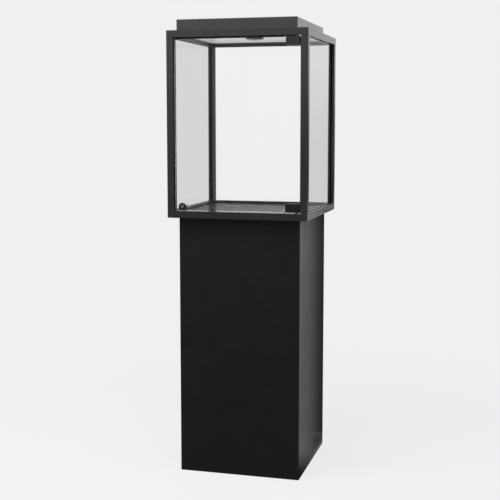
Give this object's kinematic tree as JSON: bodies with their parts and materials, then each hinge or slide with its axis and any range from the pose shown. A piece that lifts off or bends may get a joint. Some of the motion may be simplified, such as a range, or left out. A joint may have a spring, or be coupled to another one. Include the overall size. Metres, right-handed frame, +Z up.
{
  "type": "pedestal display case",
  "caption": "Dark square pedestal carrying a glazed black tube-frame case with a hinged glass door, cam lock, white ceiling and a hood with a round downlight.",
  "frame": {"origin": "on the floor under the centre of the pedestal", "axes": "+Z up, front with the glass door faces -Y, door hinged on its +X side"},
  "size_m": [0.5, 0.5, 1.603],
  "materials": {
    "laminate_black": "satin near-black laminate on board",
    "softwood": "planed softwood",
    "zinc_steel": "zinc-plated",
    "brass_insert": "turned",
    "powder_black": "fine-texture black powder coat",
    "satin_black": "smooth satin black lacquer",
    "clear_glass": "clear toughened, polished edges",
    "grey_glass": "light neutral grey, toughened",
    "black_rubber": "matt",
    "floor_laminate": "glossy dark laminate on board",
    "ceiling_white": "satin white lacquer on board",
    "black_screw": "black oxide",
    "black_plastic": "moulded",
    "lead_jacket": "flexible jacket",
    "driver_case": "moulded",
    "smoked_lens": "smoked",
    "led_board": "board with a yellow emitter",
    "heat_sink": "black anodised",
    "bush_nylon": "moulded",
    "clear_bumper": "clear soft",
    "plug_chrome": "satin"
  },
  "bodies": {
    "case": {"pedestal_front_panel": "laminate_black", "pedestal_left_panel": "laminate_black", "pedestal_right_panel": "laminate_black", "pedestal_back_panel": "laminate_black", "pedestal_top_board": "laminate_black", "pedestal_base_board": "laminate_black", "corner_battens": "softwood", "back_panel_screws": "zinc_steel", "case_bolts": "zinc_steel", "floor_inserts": "brass_insert", "post_front_left": "powder_black", "post_front_right": "powder_black", "post_back_left": "powder_black", "post_back_right": "powder_black", "bottom_rail_front": "powder_black", "bottom_rail_back": "powder_black", "bottom_rail_left": "powder_black", "bottom_rail_right": "powder_black", "top_rail_front": "powder_black", "top_rail_back": "powder_black", "top_rail_left": "powder_black", "top_rail_right": "powder_black", "corner_connectors": "powder_black", "side_glass_left": "grey_glass", "side_glass_right": "grey_glass", "back_glass": "clear_glass", "glazing_gaskets": "black_rubber", "floor_panel": "floor_laminate", "ceiling_panel": "ceiling_white", "top_sheet": "powder_black", "ceiling_screws": "black_screw", "hood_cover": "powder_black", "hood_brackets": "zinc_steel", "hood_screws": "zinc_steel", "power_inlet": "black_plastic", "internal_leads": "lead_jacket", "led_driver": "driver_case", "downlight_bezel": "powder_black", "downlight_lens": "smoked_lens", "led_board": "led_board", "downlight_heatsink": "heat_sink", "downlight_clips": "zinc_steel", "pivot_bushes": "bush_nylon", "door_bumpers": "clear_bumper", "lock_strike": "zinc_steel", "strike_screws": "zinc_steel"},
    "door": {"door_glass": "clear_glass", "lower_hinge_front_plate": "satin_black", "lower_hinge_back_plate": "satin_black", "upper_hinge_front_plate": "satin_black", "upper_hinge_back_plate": "satin_black", "hinge_cores": "powder_black", "hinge_pins": "zinc_steel", "clamp_pads": "black_rubber", "hinge_screws": "zinc_steel", "lock_housing": "satin_black", "lock_nut": "zinc_steel"},
    "lock_barrel": {"lock_plug": "plug_chrome", "lock_cam": "zinc_steel", "lock_cam_screw": "zinc_steel"}
  },
  "joints": [
    {"name": "door_hinge", "type": "hinge", "parent": "case", "child": "door", "pos_m": [0.21, -0.24, 1.2435], "axis": [0, 0, 1], "range_deg": [0, 110]},
    {"name": "lock_turn", "type": "hinge", "parent": "door", "child": "lock_barrel", "pos_m": [-0.196, -0.24, 0.9605], "axis": [0, 1, 0], "range_deg": [0, 90]}
  ]
}
